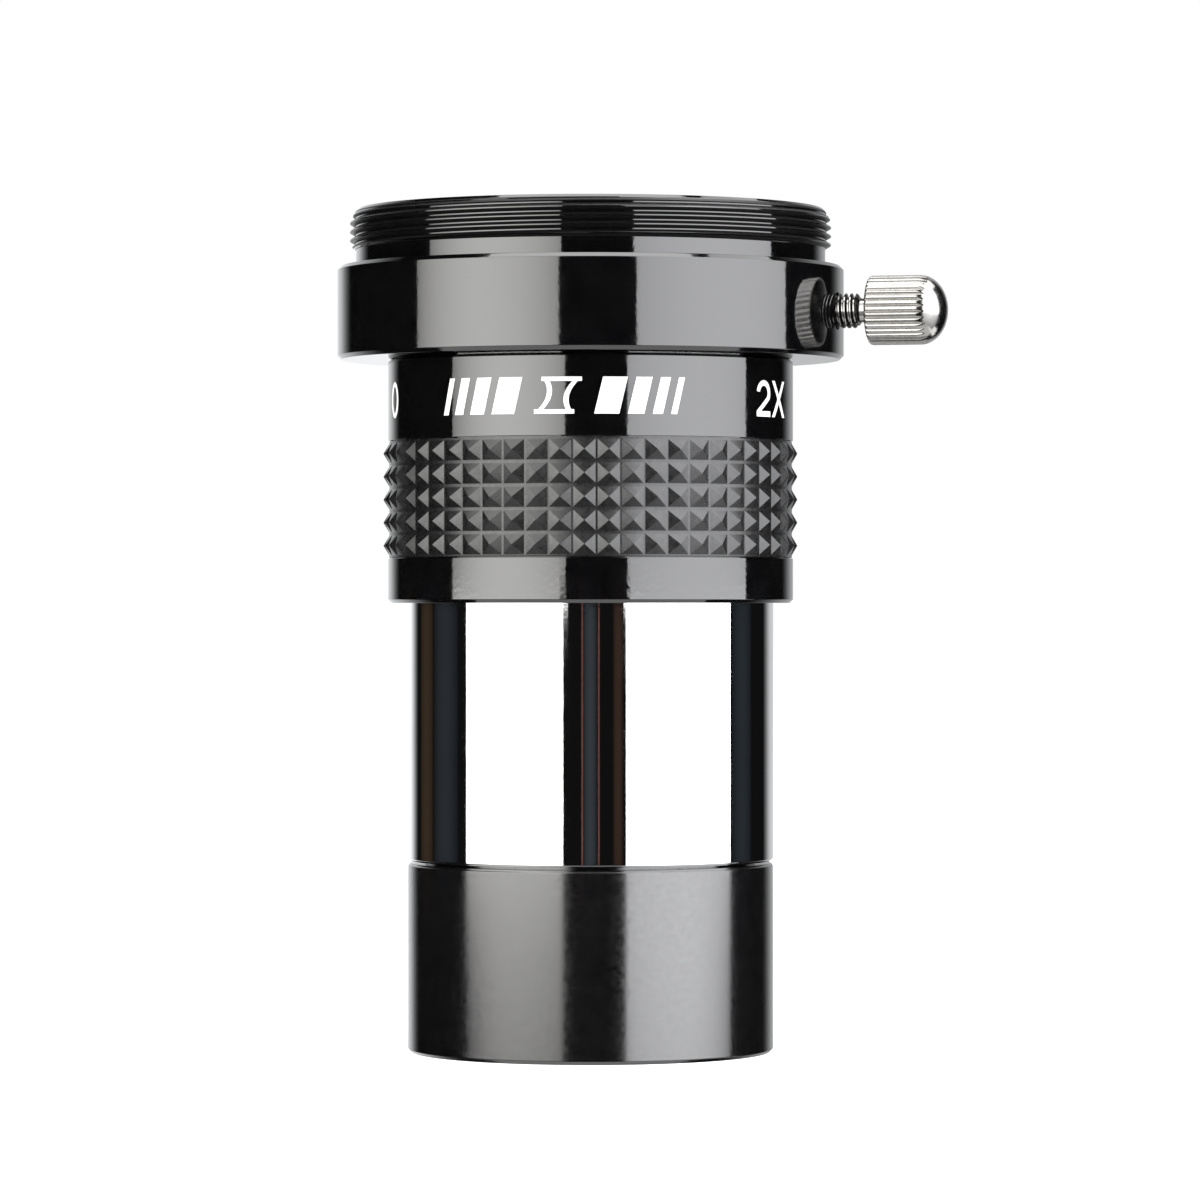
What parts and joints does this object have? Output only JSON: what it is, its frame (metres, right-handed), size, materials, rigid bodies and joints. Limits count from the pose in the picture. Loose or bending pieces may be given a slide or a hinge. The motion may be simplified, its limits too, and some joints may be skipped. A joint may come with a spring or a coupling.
{
  "type": "barlow lens",
  "caption": "Focal extender for telescope eyepieces: plated nosepiece, rubber grip, thumbscrew collar and male camera thread.",
  "frame": {"origin": "on the optical axis at the lens cell's lower end, the end of the barrel that goes into the focuser", "axes": "+Z along the optical axis from the lens cell to the eyepiece end; +X towards the thumbscrew"},
  "size_m": [0.0536, 0.044, 0.0731],
  "materials": {
    "collar": "gloss black anodised",
    "compression_ring": "satin",
    "thumbscrew": "bright nickel plate",
    "thumbscrew_tip": "matte",
    "body": "gloss black anodised",
    "grip": "matte moulded",
    "nosepiece": "polished plate",
    "lens_cell": "satin black anodised",
    "crown_glass": "polished, coated",
    "flint_glass": "polished, coated",
    "retaining_ring": "satin black anodised"
  },
  "bodies": {
    "housing": {"t_thread_collar": "collar", "compression_ring": "compression_ring", "body_tube": "body", "rubber_grip": "grip", "nosepiece_barrel": "nosepiece"},
    "screw_tip": {"thumbscrew_tip": "thumbscrew_tip"},
    "screw": {"thumbscrew": "thumbscrew"},
    "doublet": {"crown_element": "crown_glass", "flint_element": "flint_glass"},
    "cell": {"lens_cell": "lens_cell", "retaining_ring": "retaining_ring"}
  },
  "joints": [
    {"name": "thumbscrew_advance", "type": "slide", "parent": "housing", "child": "screw_tip", "axis": [-1, 0, 0], "range_m": [-0.005, 0.00038]},
    {"name": "thumbscrew_turn", "type": "hinge", "parent": "screw_tip", "child": "screw", "pos_m": [0, 0, 0.06405], "axis": [-1, 0, 0], "range_deg": [-3600.5, 270.5]},
    {"name": "cell_travel", "type": "slide", "parent": "housing", "child": "doublet", "axis": [0, 0, -1], "range_m": [0, 0.0036]},
    {"name": "cell_turn", "type": "hinge", "parent": "doublet", "child": "cell", "pos_m": [0, 0, 0], "axis": [0, 0, -1], "range_deg": [-0.5, 2160.5]}
  ],
  "couplings": [
    {"joint": "thumbscrew_turn", "follows": "thumbscrew_advance", "rad_per_m": 12566},
    {"joint": "cell_turn", "follows": "cell_travel", "rad_per_m": 10472}
  ]
}
